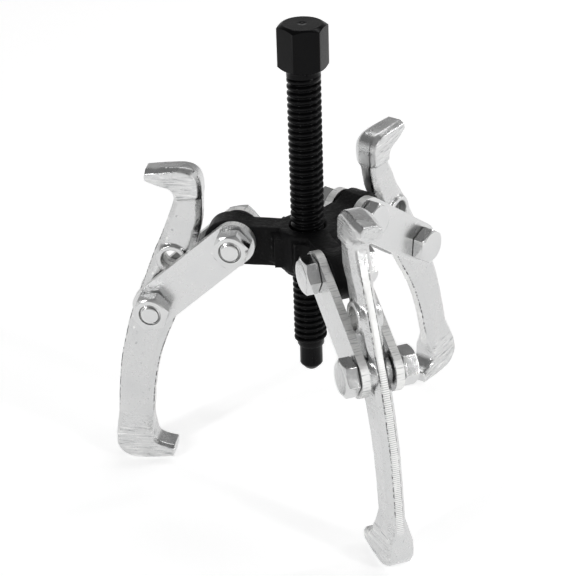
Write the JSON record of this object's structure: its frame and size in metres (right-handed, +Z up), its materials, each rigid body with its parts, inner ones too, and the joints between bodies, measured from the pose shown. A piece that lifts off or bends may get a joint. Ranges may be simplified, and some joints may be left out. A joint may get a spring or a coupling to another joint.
{
  "type": "gear puller",
  "caption": "Three-jaw reversible gear puller: a forged yoke carries a hex-headed forcing screw and jaws on paired links, with long inward feet and short outward hooks.",
  "frame": {"origin": "centre of the pressing face at the forcing screw's lower end, as the screw stands at rest", "axes": "+Z up along the forcing screw towards its hex head; -X along leg 1; legs 2 and 3 at 120 degrees to it, at 300 and 60 degrees about +Z"},
  "size_m": [0.13, 0.159, 0.1867],
  "materials": {
    "black_forged": "black oxide over a forged surface, semi-matt",
    "black_oxide": "black oxide on machined steel, semi-gloss",
    "hardened_steel": "hardened and ground steel",
    "bright_zinc": "bright zinc plating on flat and machined steel",
    "forged_zinc": "zinc plating on drop-forged steel, with ground faces at the hook and foot"
  },
  "bodies": {
    "yoke": {"yoke": "black_forged"},
    "thrust_ball": {"pressure_ball": "hardened_steel"},
    "screw": {"forcing_screw": "black_oxide"},
    "links_1": {"nut_side_link_1": "bright_zinc", "head_side_link_1": "bright_zinc", "yoke_bolt_1": "bright_zinc", "yoke_nut_1": "bright_zinc", "jaw_bolt_1": "bright_zinc", "jaw_nut_1": "bright_zinc"},
    "jaw_1": {"jaw_1": "forged_zinc"},
    "links_2": {"nut_side_link_2": "bright_zinc", "head_side_link_2": "bright_zinc", "yoke_bolt_2": "bright_zinc", "yoke_nut_2": "bright_zinc", "jaw_bolt_2": "bright_zinc", "jaw_nut_2": "bright_zinc"},
    "jaw_2": {"jaw_2": "forged_zinc"},
    "links_3": {"nut_side_link_3": "bright_zinc", "head_side_link_3": "bright_zinc", "yoke_bolt_3": "bright_zinc", "yoke_nut_3": "bright_zinc", "jaw_bolt_3": "bright_zinc", "jaw_nut_3": "bright_zinc"},
    "jaw_3": {"jaw_3": "forged_zinc"}
  },
  "joints": [
    {"name": "screw_feed", "type": "slide", "parent": "yoke", "child": "thrust_ball", "axis": [0, 0, -1], "range_m": [-0.02794, 0.05842]},
    {"name": "screw_turn", "type": "hinge", "parent": "thrust_ball", "child": "screw", "pos_m": [0, 0, 0], "axis": [0, 0, -1], "range_deg": [-3990, 8310]},
    {"name": "link_swing_1", "type": "hinge", "parent": "yoke", "child": "links_1", "pos_m": [-0.0274, 0, 0.0567], "axis": [0, 1, 0], "range_deg": [-12.6, 47.4]},
    {"name": "jaw_swing_1", "type": "hinge", "parent": "links_1", "child": "jaw_1", "pos_m": [-0.05988, 0, 0.02807], "axis": [0, 1, 0], "range_deg": [-23.4, 3.6]},
    {"name": "link_swing_2", "type": "hinge", "parent": "yoke", "child": "links_2", "pos_m": [0.0137, -0.02373, 0.0567], "axis": [-0.866, -0.5, 0], "range_deg": [-21, 39]},
    {"name": "jaw_swing_2", "type": "hinge", "parent": "links_2", "child": "jaw_2", "pos_m": [0.03186, -0.05518, 0.03312], "axis": [-0.866, -0.5, 0], "range_deg": [-18, 9]},
    {"name": "link_swing_3", "type": "hinge", "parent": "yoke", "child": "links_3", "pos_m": [0.0137, 0.02373, 0.0567], "axis": [0.866, -0.5, 0], "range_deg": [-18.2, 41.8]},
    {"name": "jaw_swing_3", "type": "hinge", "parent": "links_3", "child": "jaw_3", "pos_m": [0.03126, 0.05414, 0.03137], "axis": [0.866, -0.5, 0], "range_deg": [-26.3, 0.7]}
  ],
  "couplings": [
    {"joint": "screw_turn", "follows": "screw_feed", "rad_per_m": 2473.7}
  ]
}
